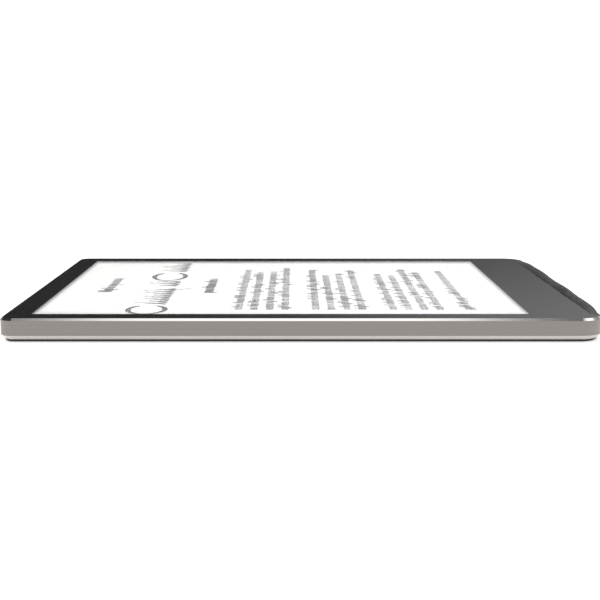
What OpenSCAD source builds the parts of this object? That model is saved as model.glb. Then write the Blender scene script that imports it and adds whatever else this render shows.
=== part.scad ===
// Slim reading tablet with a paper-like display, four page keys along its bottom edge and a
// metal side frame. It lies on its back cover: X runs from the head of the page (-X) to the
// key end (+X), Y across the page, Z up through the glass. All sizes are in millimetres.

/* [Body] */
// Overall length, head to key end
body_l = 196.2; // [180:0.1:240]
// Overall width
body_w = 142.5; // [115:0.1:175]
// Thickness from the back cover to the glass
body_t = 7.95; // [7.8:0.05:10]
// Corner radius at the head end, seen from above
head_corner_r = 4.5; // [4.2:0.1:8]
// Corner radius at the key end, seen from above
key_corner_r = 8.3; // [7:0.1:11]

/* [Side frame] */
// Polished chamfer between the side and the glass
top_chamfer = 0.73; // [0.4:0.01:0.78]
// Width of the lip between the outer side and the glass pocket
frame_lip = 0.85; // [0.8:0.05:1.2]
// Wall thickness below the glass pocket
frame_wall = 2; // [1.8:0.1:2.4]
// How far the lower chamfer draws in
foot_inset = 1.3; // [0.8:0.1:1.5]
// Height at which the lower chamfer starts
foot_top = 2.3; // [2:0.1:2.4]
// Height of the frame's lower edge above the table
foot_z = 0.95; // [0.7:0.05:0.95]
// Width of the inner shelf that carries the chassis plate
shelf_w = 3; // [2.8:0.1:4]
// Thickness of that shelf
shelf_t = 0.8; // [0.6:0.1:1]

/* [Back cover] */
// Thickness of the cover's floor
cover_t = 1; // [0.96:0.02:1.2]
// How far the cover's edge curves in below the frame
cover_round = 1.3; // [1:0.1:2.7]
// Height of the locating rib inside the frame
rib_top = 3.2; // [2:0.1:3.3]
// Thickness of the locating rib
rib_t = 0.9; // [0.6:0.1:1]

/* [Front] */
// Glass thickness
glass_t = 0.7; // [0.5:0.05:0.8]
// Thickness of the printed black border under the glass
ink_t = 0.08; // [0.05:0.01:0.1]
// Border between the head end and the window
head_border = 9.05; // [7:0.05:12]
// Border between the window and the key end
key_border = 23.55; // [20:0.05:30]
// Border on each long side of the window
side_border = 8.95; // [7:0.05:15]
// Thickness of the tape that holds the glass to the frame
gasket_t = 0.12; // [0.08:0.01:0.15]

/* [Display stack] */
// Touch layer thickness
touch_t = 0.15; // [0.1:0.01:0.2]
// Light guide thickness
guide_t = 0.4; // [0.3:0.05:0.5]
// Display film thickness
film_t = 0.25; // [0.2:0.01:0.3]
// Display backplane thickness
backplane_t = 0.4; // [0.3:0.05:0.5]
// Foam cushion thickness
cushion_t = 0.25; // [0.2:0.01:0.4]
// Chassis plate thickness
chassis_t = 0.8; // [0.6:0.05:1]

/* [Page keys] */
// Width of the key strip, from its inner line to the outer side
key_strip_w = 3.4; // [3.2:0.05:4]
// Gap between each end of the key strip and the long side
key_strip_end = 7.25; // [6.5:0.05:12]
// Corner radius at the ends of the strip's inner line
key_strip_r = 3.3; // [2:0.1:3.4]
// Length of each of the two page keys
page_key_l = 39.4; // [30:0.1:42]
// Height of a key's crest above the glass
key_crest = 1.65; // [1.4:0.05:2]
// Height above the glass of the dips between keys
key_dip = 1.32; // [0.8:0.01:1.4]
// Level stretch at each end of the key strip
key_level_end = 2; // [1:0.1:3]
// How late the ridge falls over the home key
home_key_fall = 6; // [1:0.5:8]
// How late the ridge falls over the menu key
menu_key_fall = 1.5; // [1:0.5:8]
// Travel of each key
key_travel = 0.3; // [0.15:0.01:0.3]
// Clearance round each key
key_gap = 0.15; // [0.12:0.01:0.2]
// Radius of the plunger under each key
plunger_r = 0.6; // [0.5:0.05:0.6]

/* [Power button] */
// Length of the power button
button_l = 11; // [8:0.1:13]
// Height of the power button
button_h = 2.2; // [1.8:0.1:2.4]
// Place of the power button along the key end
button_y = 30; // [28:0.5:32]
// How far the button stands proud of the side
button_proud = 0.2; // [0.1:0.01:0.3]
// Travel of the power button
button_travel = 0.3; // [0.1:0.01:0.3]
// Clearance round the power button
button_gap = 0.12; // [0.1:0.01:0.2]

/* [Charging socket] */
// Outer width of the socket's shell
usb_w = 8.94; // [8.9:0.01:9.2]
// Outer height of the socket's shell
usb_h = 3.26; // [3.2:0.01:3.3]
// Depth of the socket
usb_depth = 7.35; // [6.5:0.05:8]
// Wall of the socket's shell
usb_wall = 0.3; // [0.2:0.05:0.35]
// Clearance between the shell and the frame
usb_gap = 0.15; // [0.1:0.01:0.2]

/* [Sound and status light] */
// Place of the speaker holes along the key end
speaker_y = -36; // [-38:0.5:-34]
// Number of speaker holes
speaker_holes = 7; // [5:1:8]
// Spacing of the speaker holes
speaker_pitch = 2; // [1.6:0.1:2]
// Radius of a speaker hole
speaker_hole_r = 0.55; // [0.4:0.05:0.7]
// Place of the status light along the key end
light_y = 42; // [41:0.5:46]
// Radius of the status light's pipe
light_r = 0.6; // [0.4:0.05:0.7]

/* [Main board] */
// Board length along X
board_l = 50; // [48:0.5:54]
// Board thickness
board_t = 0.8; // [0.6:0.1:1]
// Place of the board's edge beside the speaker, along Y
board_y = -20; // [-21:0.5:-19]
// Gap between the board's other edge and the frame's shelf
board_side_gap = 8.25; // [7:0.25:12]

/* [Battery] */
// Gap between the battery and the shelf at the head end
battery_head_gap = 14.5; // [2:0.5:40]
// Battery width
battery_w = 72; // [50:1:90]
// Gap between the battery and the main board
battery_gap = 11; // [10:0.5:20]

/* [Screws] */
// Shank radius of the small screws
screw_r = 0.6; // [0.5:0.05:0.65]
// Head radius of the small screws
screw_head_r = 1.2; // [1:0.05:1.3]
// Head height of the small screws
screw_head_t = 0.55; // [0.4:0.05:0.6]

/* [Hidden] */

$fn = 64;
cut = 0.5; // how far a cutting tool runs past the face it cuts
thread_gap = 0.02; // between a screw's shank and the hole that it threads into
pass_gap = 0.15; // between a screw's shank and the hole that it passes through
seat_gap = 0.1; // between pieces that lie beside each other in a pocket
seam_gap = 0.06; // parting line between the frame and the back cover

// Heights of the stack, from the glass down
z_glass = body_t - glass_t;
z_ink = z_glass - ink_t;
z_ledge = z_ink - gasket_t;
z_touch = z_ink - touch_t;
z_guide = z_touch - guide_t;
z_film = z_guide - film_t;
z_backplane = z_film - backplane_t;
z_plate = z_backplane - cushion_t; // upper face of the chassis plate
z_bay = z_plate - chassis_t; // lower face of the chassis plate, roof of the bay below it

// Places along X
half_l = body_l / 2;
half_w = body_w / 2;
window_x = -half_l + head_border; // head edge of the window
window_end = half_l - key_border;
window_l = window_end - window_x;
window_w = body_w - 2 * side_border;
key_line = half_l - key_strip_w; // inner line of the key strip
inner_x = half_l - frame_wall; // inner face of the frame at the key end
display_end = window_end + 6.5; // key end of the backplane, with its driver margin

// Side openings share one height
side_z = body_t - 3.95;

// Main board
z_board = side_z - 1.2; // lower face
z_board_top = z_board + board_t;
board_end = inner_x - 1.7;
board_x = board_end - board_l;
board_w = half_w - frame_wall - shelf_w - board_side_gap - board_y;
key_flex_y = board_y + board_w - 7;
board_bosses = [[board_x + 4, board_y + 4], [board_x + 4, board_y + board_w - 4],
    [board_x + 40, board_y + 4], [board_x + 28, board_y + board_w - 4]];
boss_r = 1.5;
usb_back = half_l - 0.1 - usb_depth;

// Chassis screws stand in the middle of the shelf's free width, on both long sides
screw_inset = frame_wall + shelf_w / 2 + 0.1;
screw_y = half_w - screw_inset;
screw_xs = [for (i = [0:3]) -half_l + 14 + i * (body_l - 34) / 3];

// Speaker
speaker_front = inner_x - 1.4;
mesh_t = 0.25;
speaker_half = (speaker_holes - 1) * speaker_pitch / 2 + speaker_hole_r + 0.65; // of its sound chamber

// Battery
battery_end = board_x - battery_gap;
battery_x = -half_l + frame_wall + shelf_w + battery_head_gap;
battery_pad_t = 0.15;
battery_top = z_bay - battery_pad_t;
battery_bottom = cover_t + 0.35;
lead_z = z_board_top + 0.65;

// Keys
key_strip_half = half_w - key_strip_end;
key_ends = [-key_strip_half, -page_key_l, 0, page_key_l, key_strip_half];
end_key_y = (page_key_l + key_strip_half - key_strip_r) / 2;
flange_t = 0.27;
z_flange = z_ink - key_gap - flange_t;
flange_in = 0.85; // how far a key's flange reaches under the glass
flange_end = key_strip_half - 6;
key_board_t = 0.25;
dome_ring_t = 0.3;
z_dome = z_plate + key_board_t;
dome_disc_t = 0.05;
z_plunger = z_dome + dome_disc_t + key_travel + 0.05;
plunger_x = inner_x - 1.1;
dome_ring_r = 0.95;
key_top_steps = 30;
key_side_steps = 6;

// Edge of the cover: an arc that leaves the floor level and ends under the frame
edge_in = min(cover_round, head_corner_r - foot_inset - 0.4);
edge_h = foot_z - seam_gap;
edge_r = (edge_in * edge_in + edge_h * edge_h) / (2 * edge_h);
floor_inset = foot_inset + edge_in;
rib_inset = frame_wall + 0.15;
snap_z = 2.55;
snap_h = 0.5;
snap_depth = 0.25;

// ---------------------------------------------------------------- shared shapes

// Outline of the body drawn in by inset
module outline(inset) {
    hl = half_l - inset;
    hw = half_w - inset;
    rh = max(head_corner_r - inset, 0.3);
    rk = max(key_corner_r - inset, 0.3);
    translate([-hl + rh, -hw]) square([2 * hl - rh - rk, 2 * hw]);
    translate([-hl, -hw + rh]) square([rh, 2 * (hw - rh)]);
    translate([hl - rk, -hw + rk]) square([rk, 2 * (hw - rk)]);
    for (side = [-1, 1]) {
        translate([-hl + rh, side * (hw - rh)]) circle(r = rh);
        translate([hl - rk, side * (hw - rk)]) circle(r = rk);
    }
}

// Plate of the body's outline between two heights
module layer(inset, z_low, z_high) {
    translate([0, 0, z_low]) linear_extrude(z_high - z_low) outline(inset);
}

// Sweeps a profile round the outline: its x is the distance in from the outer side, its y the height
module sweep_round() {
    for (side = [0, 1]) {
        mirror([0, side, 0])
            translate([-half_l + head_corner_r, -half_w, 0])
            rotate([90, 0, 90])
            linear_extrude(body_l - head_corner_r - key_corner_r)
            children();
        mirror([0, side, 0]) {
            translate([-half_l + head_corner_r, -half_w + head_corner_r, 0])
                rotate([0, 0, 180])
                corner_turn(head_corner_r)
                children();
            translate([half_l - key_corner_r, -half_w + key_corner_r, 0])
                rotate([0, 0, 270])
                corner_turn(key_corner_r)
                children();
        }
    }
    translate([-half_l, half_w - head_corner_r, 0])
        rotate([90, 0, 0])
        linear_extrude(body_w - 2 * head_corner_r)
        children();
    mirror([1, 0, 0])
        translate([-half_l, half_w - key_corner_r, 0])
        rotate([90, 0, 0])
        linear_extrude(body_w - 2 * key_corner_r)
        children();
}

// Quarter turn of a profile about a corner of radius r
module corner_turn(r) {
    rotate_extrude(angle = 90) translate([r, 0]) mirror([1, 0]) children();
}

// Box between two corners
module block(low, high) {
    translate(low) cube([high[0] - low[0], high[1] - low[1], high[2] - low[2]]);
}

// Flat plate with rounded corners, between two corners
module pad(low, high, r) {
    translate([0, 0, low[2]])
        linear_extrude(high[2] - low[2])
        rounded(low[0], low[1], high[0], high[1], r);
}

module rounded(x0, y0, x1, y1, r) {
    translate([x0 + r, y0]) square([x1 - x0 - 2 * r, y1 - y0]);
    translate([x0, y0 + r]) square([x1 - x0, y1 - y0 - 2 * r]);
    for (x = [x0 + r, x1 - r], y = [y0 + r, y1 - r]) {
        translate([x, y]) circle(r = r);
    }
}

// Round-ended bar along X with its long side across Y, such as a socket or a button
module pill(y, z, w, h, x0, x1) {
    translate([x0, y, z]) rotate([90, 0, 90]) linear_extrude(x1 - x0) {
        square([w - h, h], center = true);
        for (side = [-1, 1]) {
            translate([side * (w - h) / 2, 0]) circle(d = h);
        }
    }
}

// Round rod along X
module rod_x(x0, x1, y, z, r) {
    translate([x0, y, z]) rotate([0, 90, 0]) cylinder(r = r, h = x1 - x0);
}

// Small flat-headed screw that is driven upwards: the head's upper face is at z
module screw_up(x, y, z, shank) {
    translate([x, y, z]) cylinder(r = screw_r, h = shank);
    difference() {
        translate([x, y, z - screw_head_t]) cylinder(r = screw_head_r, h = screw_head_t);
        for (turn = [0, 90]) {
            translate([x, y, z - screw_head_t])
                rotate([0, 0, turn])
                cube([screw_head_r * 1.2, screw_head_r * 0.3, screw_head_t], center = true);
        }
    }
}

// Bay that the keys stand in: open towards the key end, rounded at its inner corners
module key_bay(grow) {
    x0 = key_line - grow;
    r = key_strip_r + grow;
    hy = key_strip_half + grow;
    translate([x0 + r, -hy]) square([half_l - x0, 2 * hy]);
    translate([x0, -hy + r]) square([2 * r, 2 * (hy - r)]);
    for (side = [-1, 1]) {
        translate([x0 + r, side * (hy - r)]) circle(r = r);
    }
}

// Height of the keys' outer ridge above the glass: long waves over the page keys, down to the
// glass in a round shoulder at the end of the home key and in a long slope over the menu key
function ridge(y) =
    let (a = abs(y), t = (a - page_key_l) / (key_strip_half - key_level_end - page_key_l))
    a < page_key_l
        ? key_dip + (key_crest - key_dip) * (1 - cos(360 * a / page_key_l)) / 2
        : key_dip * (1 - pow(min(1, t), y > 0 ? menu_key_fall : home_key_fall));

// Solid under the keys' top surface between y0 and y1, level with the glass on its inner side
module key_wave(y0, y1) {
    x0 = key_line;
    x1 = half_l;
    rise_w = key_strip_w - frame_lip;
    nx = key_side_steps;
    ny = key_top_steps;
    function lift(x) = sin(90 * min(1, (x - x0) / rise_w));
    top = [for (i = [0:nx], j = [0:ny])
        let (x = x0 + (x1 - x0) * i / nx, y = y0 + (y1 - y0) * j / ny)
        [x, y, body_t + ridge(y) * lift(x)]];
    bottom = [for (p = top) [p[0], p[1], z_flange]];
    n = len(top);
    function at(i, j) = i * (ny + 1) + j;
    polyhedron(
        points = concat(top, bottom),
        faces = concat(
            [for (i = [0:nx - 1], j = [0:ny - 1]) [at(i, j), at(i, j + 1), at(i + 1, j)]],
            [for (i = [0:nx - 1], j = [0:ny - 1]) [at(i + 1, j), at(i, j + 1), at(i + 1, j + 1)]],
            [for (i = [0:nx - 1], j = [0:ny - 1]) [n + at(i, j), n + at(i + 1, j), n + at(i, j + 1)]],
            [for (i = [0:nx - 1], j = [0:ny - 1])
                [n + at(i + 1, j), n + at(i + 1, j + 1), n + at(i, j + 1)]],
            [for (j = [0:ny - 1]) [at(0, j), n + at(0, j), n + at(0, j + 1), at(0, j + 1)]],
            [for (j = [0:ny - 1]) [at(nx, j), at(nx, j + 1), n + at(nx, j + 1), n + at(nx, j)]],
            [for (i = [0:nx - 1]) [at(i, 0), at(i + 1, 0), n + at(i + 1, 0), n + at(i, 0)]],
            [for (i = [0:nx - 1]) [at(i, ny), n + at(i, ny), n + at(i + 1, ny), at(i + 1, ny)]]
        )
    );
}

// One key of the strip between y0 and y1, with its flange under the glass and its plunger
module key(y0, y1, plunger_y) {
    low = y0 + (y0 > -key_strip_half ? key_gap / 2 : key_gap);
    high = y1 - (y1 < key_strip_half ? key_gap / 2 : key_gap);
    intersection() {
        key_wave(low, high);
        translate([0, 0, z_flange]) linear_extrude(body_t) intersection() {
            outline(frame_lip + key_gap);
            key_bay(-key_gap);
            translate([0, low]) square([half_l, high - low]);
        }
    }
    translate([0, 0, z_flange]) linear_extrude(flange_t) intersection() {
        outline(frame_lip + key_gap);
        translate([key_line - flange_in, max(low, -flange_end)])
            square([key_strip_w, min(high, flange_end) - max(low, -flange_end)]);
    }
    translate([plunger_x, plunger_y, z_plunger]) cylinder(r = plunger_r, h = z_flange + 0.1 - z_plunger);
}

// Flat ribbon that leaves at (x0, z0), turns down at x1, and comes back to x2 at height z1
module ribbon(x0, z0, x1, x2, z1, y0, y1) {
    t = 0.12;
    r = 0.5;
    translate([0, y1, 0]) rotate([90, 0, 0]) linear_extrude(y1 - y0) {
        translate([x0, z0]) square([x1 - r - x0, t]);
        translate([x1 - t, z1 + r]) square([t, z0 + t - z1 - 2 * r]);
        translate([x2, z1]) square([x1 - r - x2, t]);
        translate([x1 - r, z0 + t - r]) quarter_ring(r, t);
        translate([x1 - r, z1 + r]) mirror([0, 1]) quarter_ring(r, t);
    }
}

module quarter_ring(r, t) {
    intersection() {
        difference() {
            circle(r = r);
            circle(r = r - t);
        }
        square([r + 1, r + 1]);
    }
}

// ---------------------------------------------------------------- glass and display

module front_glass() {
    color("#2b2b2c", 0.5)
    translate([0, 0, z_glass]) linear_extrude(glass_t) difference() {
        outline(frame_lip + seat_gap);
        key_bay(0);
    }
}

module bezel_ink() {
    color("#161616")
    translate([0, 0, z_ink]) linear_extrude(ink_t) difference() {
        outline(frame_lip + seat_gap);
        key_bay(0);
        translate([window_x, -window_w / 2]) square([window_l, window_w]);
    }
}

module glass_gasket() {
    color("#202020")
    difference() {
        layer(frame_lip + 2 * seat_gap, z_ledge, z_ink);
        layer(frame_wall - 0.05, z_ledge - cut, z_ink + cut);
        translate([0, 0, z_ledge - cut]) linear_extrude(2) key_bay(key_gap);
    }
}

module touch_sensor() {
    color("#c9ced2", 0.5)
    pad([window_x - 4, -window_w / 2 - 3.5, z_touch], [display_end - 1, window_w / 2 + 3.5, z_ink], 1);
}

module light_guide() {
    color("#e6ecef", 0.6)
    pad([window_x - 3.5, -window_w / 2 - 3, z_guide], [window_end + 4.5, window_w / 2 + 3, z_touch], 1);
}

module frontlight_bar() {
    led_xs = window_end + 4.5 + 0.05;
    color("#e8e4d2") {
        block([led_xs, -window_w / 2 + 2, z_guide], [display_end + 3, window_w / 2 - 2, z_guide + 0.1]);
        for (i = [0:9]) {
            y = (i - 4.5) * (window_w - 16) / 9;
            block([led_xs, y - 1.5, z_guide + 0.05], [led_xs + 0.9, y + 1.5, z_touch - 0.02]);
        }
    }
}

module display_film() {
    color("#f4f4f2")
    pad([window_x - 2, -window_w / 2 - 1.5, z_film], [window_end + 2.5, window_w / 2 + 1.5, z_guide], 0.5);
}

module display_backplane() {
    color("#9fb0a8")
    pad([window_x - 2.5, -window_w / 2 - 2, z_backplane], [display_end, window_w / 2 + 2, z_film], 0.5);
}

module display_drivers() {
    color("#1c1c1e")
    for (y = [-36, -12, 12, 36]) {
        block([window_end + 3.2, y - 8, z_film], [window_end + 5, y + 8, z_film + 0.2]);
    }
}

module display_cushion() {
    color("#4a4a4c")
    pad([window_x - 2, -window_w / 2 - 1.5, z_plate], [window_end + 2, window_w / 2 + 1.5, z_backplane], 1);
}

// ---------------------------------------------------------------- frame and casings

// Cross-section of the frame's wall
module frame_profile() {
    polygon([
        [foot_inset, foot_z],
        [0, foot_top],
        [0, body_t - top_chamfer],
        [top_chamfer, body_t],
        [frame_lip, body_t],
        [frame_lip, z_ledge],
        [frame_wall, z_ledge],
        [frame_wall, snap_z + snap_h],
        [frame_wall - snap_depth, snap_z + snap_h],
        [frame_wall - snap_depth, snap_z],
        [frame_wall, snap_z],
        [frame_wall, foot_z]
    ]);
}

module mid_frame() {
    color("#97918d")
    difference() {
        union() {
            sweep_round() frame_profile();
            difference() {
                layer(frame_wall - 0.05, z_bay - shelf_t, z_bay);
                layer(frame_wall + shelf_w, z_bay - shelf_t - cut, z_bay + cut);
                // no shelf across the key end, where the sockets stand
                block([half_l - 20, -half_w + 9, 0], [half_l - frame_wall, half_w - 9, body_t]);
            }
        }
        // pocket for the keys, above the chassis plate
        translate([0, 0, z_plate]) linear_extrude(body_t) intersection() {
            outline(frame_lip);
            key_bay(0);
        }
        for (x = screw_xs, side = [-1, 1]) {
            translate([x, side * screw_y, z_bay - shelf_t - cut])
                cylinder(r = screw_r + pass_gap, h = shelf_t + 2 * cut);
        }
        pill(0, side_z, usb_w + 2 * usb_gap, usb_h + 2 * usb_gap, inner_x - cut, half_l + cut);
        pill(button_y, side_z, button_l + 2 * button_gap, button_h + 2 * button_gap,
            inner_x - cut, half_l + cut);
        for (i = [0:speaker_holes - 1]) {
            rod_x(inner_x - cut, half_l + cut, speaker_y + (i - (speaker_holes - 1) / 2) * speaker_pitch,
                side_z, speaker_hole_r);
        }
        rod_x(inner_x - cut, half_l + cut, light_y, side_z, light_r + thread_gap);
    }
}

module chassis_plate() {
    color("#b9bcc0")
    difference() {
        union() {
            layer(frame_wall + seat_gap, z_bay, z_plate);
            for (p = board_bosses) {
                translate([p[0], p[1], z_board_top]) cylinder(r = boss_r, h = z_bay - z_board_top + 0.1);
            }
        }
        // notches for what stands in the key end's side
        block([usb_back - 0.3, -usb_w / 2 - 0.3, z_bay - cut], [half_l, usb_w / 2 + 0.3, z_plate + cut]);
        block([board_end - 2.5, button_y - button_l / 2 - 1.6, z_bay - cut],
            [half_l, button_y + button_l / 2 + 1.6, z_plate + cut]);
        block([speaker_front - seat_gap, speaker_y - speaker_half - 2, z_bay - cut],
            [half_l, speaker_y + speaker_half + 2, z_plate + cut]);
        // slots for the ribbons
        block([display_end + 1.6, -16, z_bay - cut], [display_end + 3.6, 16, z_plate + cut]);
        block([display_end + 4.1, 22, z_bay - cut], [display_end + 6.1, 32, z_plate + cut]);
        block([inner_x - 8.4, key_flex_y - 3, z_bay - cut], [inner_x - 6.6, key_flex_y + 3, z_plate + cut]);
        for (p = board_bosses) {
            translate([p[0], p[1], z_board_top - cut])
                cylinder(r = screw_r + thread_gap, h = z_bay - z_board_top + cut + 0.4);
        }
        for (x = screw_xs, side = [-1, 1]) {
            translate([x, side * screw_y, z_bay - cut])
                cylinder(r = screw_r + thread_gap, h = chassis_t + 2 * cut);
        }
    }
}

// Cross-section of the cover's curved edge
module cover_edge_profile() {
    intersection() {
        translate([foot_inset, 0]) square([edge_in, edge_h]);
        translate([floor_inset, edge_r]) circle(r = edge_r, $fn = 180);
    }
}

module back_cover() {
    rib_cut_y = half_w - 12;
    color("#383735")
    union() {
        sweep_round() cover_edge_profile();
        layer(floor_inset, 0, cover_t);
        difference() {
            layer(rib_inset, edge_h / 2, cover_t);
            layer(floor_inset, edge_h / 2 - cut, cover_t + cut);
        }
        difference() {
            union() {
                layer(rib_inset, cover_t, rib_top);
                // snap ridges that seat in the frame's groove
                for (x = [-60, 0, 60], side = [-1, 1]) {
                    translate([x - 6, side * (half_w - rib_inset) - 0.2, snap_z + 0.1])
                        cube([12, 0.4, snap_h - 0.2]);
                }
            }
            layer(rib_inset + rib_t, cover_t - cut, rib_top + cut);
            block([half_l - 20, -rib_cut_y, cover_t], [half_l, rib_cut_y, rib_top + cut]);
        }
    }
}

// ---------------------------------------------------------------- keys and buttons

module home_key() { color("#3e3f3f") key(key_ends[0], key_ends[1], -end_key_y); }
module page_back_key() { color("#3e3f3f") key(key_ends[1], key_ends[2], -page_key_l / 2); }
module page_forward_key() { color("#3e3f3f") key(key_ends[2], key_ends[3], page_key_l / 2); }
module menu_key() { color("#3e3f3f") key(key_ends[3], key_ends[4], end_key_y); }

module key_board() {
    color("#2f5d3a")
    block([plunger_x - 1, -flange_end, z_plate], [inner_x - seat_gap, flange_end, z_dome]);
}

module key_domes() {
    color("#c8c8c4")
    for (y = [-end_key_y, -page_key_l / 2, page_key_l / 2, end_key_y]) {
        translate([plunger_x, y, z_dome]) {
            difference() {
                cylinder(r = dome_ring_r, h = dome_ring_t);
                translate([0, 0, dome_disc_t]) cylinder(r = plunger_r + 0.2, h = dome_ring_t);
            }
        }
    }
}

module power_button() {
    flange_x = inner_x - key_gap;
    color("#8f8a86")
    union() {
        pill(button_y, side_z, button_l, button_h, flange_x - 0.3, half_l + button_proud);
        block([flange_x - 0.55, button_y - button_l / 2 - 0.8, side_z - button_h / 2 - 0.4],
            [flange_x, button_y + button_l / 2 + 0.8, side_z + button_h / 2 + 0.4]);
        rod_x(board_end + 0.1, flange_x - 0.3, button_y, side_z, 0.45);
    }
}

module power_switch() {
    color("#3a3a3c")
    difference() {
        block([board_end - 1.9, button_y - 2.4, side_z - 0.9],
            [board_end + 0.5, button_y + 2.4, side_z + 0.8]);
        rod_x(board_end - button_travel - 0.1, board_end + 1, button_y, side_z, 0.65);
    }
}

module status_light_pipe() {
    color("#f2f2ee", 0.7)
    rod_x(board_end + 0.2, half_l - 0.05, light_y, side_z, light_r);
}

module status_led() {
    color("#efe9c8")
    block([board_end - 1.1, light_y - 0.8, z_board_top], [board_end, light_y + 0.8, z_board_top + 0.8]);
}

// ---------------------------------------------------------------- charging socket and sound

module usb_shell() {
    color("#c3c4c6")
    difference() {
        pill(0, side_z, usb_w, usb_h, usb_back, half_l - 0.1);
        pill(0, side_z, usb_w - 2 * usb_wall, usb_h - 2 * usb_wall, usb_back - cut, half_l + cut);
    }
}

module usb_tongue() {
    color("#232325")
    union() {
        pill(0, side_z, usb_w - 2 * usb_wall, usb_h - 2 * usb_wall, usb_back, usb_back + 1.6);
        block([usb_back + 1.5, -3.35, side_z - 0.35], [half_l - 0.8, 3.35, side_z + 0.35]);
    }
}

module speaker() {
    color("#2c2c2e")
    difference() {
        pad([speaker_front - 15, speaker_y - 9, cover_t + 0.3],
            [speaker_front, speaker_y + 9, z_bay - 0.1], 1.2);
        // sound chamber, open towards the holes
        block([speaker_front - 2.6, speaker_y - speaker_half + 0.2, side_z - 0.9],
            [inner_x, speaker_y + speaker_half - 0.2, side_z + 0.6]);
    }
}

module speaker_gasket() {
    color("#1a1a1a")
    difference() {
        block([speaker_front, speaker_y - speaker_half - 1, side_z - 1.3],
            [inner_x - mesh_t, speaker_y + speaker_half + 1, side_z + 1]);
        block([speaker_front - cut, speaker_y - speaker_half, side_z - 0.9],
            [inner_x, speaker_y + speaker_half, side_z + 0.6]);
    }
}

module speaker_mesh() {
    color("#161616")
    block([inner_x - mesh_t, speaker_y - speaker_half - 1, side_z - 1.3],
        [inner_x - 0.02, speaker_y + speaker_half + 1, side_z + 1.3]);
}

// ---------------------------------------------------------------- main board

module main_board() {
    color("#1f5136")
    difference() {
        pad([board_x, board_y, z_board], [board_end, board_y + board_w, z_board_top], 1);
        block([usb_back - 0.2, -usb_w / 2 - 0.15, 0], [half_l, usb_w / 2 + 0.15, body_t]);
        block([board_end - 2, button_y - 2.5, 0], [half_l, button_y + 2.5, body_t]);
        for (p = board_bosses) {
            translate([p[0], p[1], z_board - cut]) cylinder(r = screw_r + pass_gap, h = board_t + 2 * cut);
        }
    }
}

// Chip on the lower side of the board, centred on (x, y) from the board's corner
module chip_below(x, y, l, w, t) {
    block([board_x + x - l / 2, board_y + y - w / 2, z_board - t],
        [board_x + x + l / 2, board_y + y + w / 2, z_board]);
}

module processor() { color("#19191b") chip_below(17, 36, 12, 12, 0.9); }
module memory_chip() { color("#19191b") chip_below(28, 30, 8, 11, 0.8); }
module power_chip() { color("#19191b") chip_below(20, 60, 7, 7, 0.7); }
module wireless_module() { color("#b4b6b8") chip_below(41, 44, 11, 12, 1.2); }
module cover_sensor() { color("#19191b") chip_below(3, 12, 1.6, 2.9, 0.9); }

module shield_can() {
    color("#bfc1c3")
    difference() {
        chip_below(21, 35, 24, 28, 1.3);
        translate([0, 0, 0.15]) chip_below(21, 35, 23.7, 27.7, 1.3);
    }
}

module board_passives() {
    color("#8d6f4c")
    for (row = [0:5], col = [0:2]) {
        chip_below(9 + col * 12, board_w - 10 + row * 1.5, 1, 0.6, 0.5);
    }
}

// ---------------------------------------------------------------- battery

module battery_cell() {
    color("#9a9c9f")
    pad([battery_x, -battery_w / 2, battery_bottom], [battery_end, battery_w / 2, battery_top], 2);
}

module battery_protector() {
    color("#2b6b45")
    block([battery_end, -9, lead_z - 0.5], [battery_end + 3.6, 9, lead_z + 0.5]);
}

module battery_pad() {
    color("#d8d6d0")
    pad([battery_x + 6, -battery_w / 2 + 6, battery_top], [battery_end - 6, battery_w / 2 - 6, z_bay], 2);
}

module battery_lead() {
    color("#b02a22")
    for (i = [-1:1]) {
        rod_x(battery_end + 3.6, board_x + 2.4, i * 1.5, lead_z, 0.35);
    }
}

module battery_plug() {
    color("#ece8dc")
    block([board_x + 2.4, -3.2, z_board_top + 0.05], [board_x + 4.6, 3.2, z_board_top + 1.1]);
}

module battery_socket() {
    color("#e3dfd2")
    block([board_x + 4.6, -4, z_board_top], [board_x + 8.2, 4, z_board_top + 1.2]);
}

// ---------------------------------------------------------------- ribbons and their sockets

module display_flex() {
    color("#b5762c")
    ribbon(display_end, z_backplane + 0.14, display_end + 2.9, display_end - 2, z_board_top + 0.7, -14, 14);
}

module display_socket() {
    color("#2a2a2c")
    difference() {
        block([display_end - 6, -15, z_board_top], [display_end - 1, 15, z_board_top + 1.05]);
        block([display_end - 2.05, -14.1, z_board_top + 0.65], [display_end, 14.1, z_board_top + 0.87]);
    }
}

module touch_flex() {
    color("#c07f30")
    ribbon(display_end - 1, z_touch + 0.02, display_end + 5.4, display_end + 1.6, z_board_top + 0.7, 23, 31);
}

module touch_socket() {
    color("#2a2a2c")
    difference() {
        block([display_end - 2, 22.4, z_board_top], [display_end + 2.4, 31.6, z_board_top + 1.05]);
        block([display_end + 1.55, 22.9, z_board_top + 0.65], [display_end + 4, 31.1, z_board_top + 0.87]);
    }
}

module key_flex() {
    color("#b5762c")
    mirror([1, 0, 0])
        ribbon(-plunger_x + 1, z_plate + 0.06, -inner_x + 7.9, -inner_x + 3, z_board_top + 0.7,
            key_flex_y - 2, key_flex_y + 2);
}

module key_socket() {
    color("#2a2a2c")
    difference() {
        block([inner_x - 5.4, key_flex_y - 2.6, z_board_top],
            [inner_x - 2.2, key_flex_y + 2.6, z_board_top + 1.05]);
        block([inner_x - 6, key_flex_y - 2.1, z_board_top + 0.65],
            [inner_x - 2.9, key_flex_y + 2.1, z_board_top + 0.87]);
    }
}

module antenna() {
    color("#c58a3a")
    block([board_x, board_y + board_w + 1.5, z_bay - 0.15], [board_x + 28, board_y + board_w + 7, z_bay]);
}

// ---------------------------------------------------------------- fasteners

module chassis_screws() {
    color("#707274")
    for (x = screw_xs, side = [-1, 1]) {
        screw_up(x, side * screw_y, z_bay - shelf_t, shelf_t + chassis_t - 0.1);
    }
}

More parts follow.
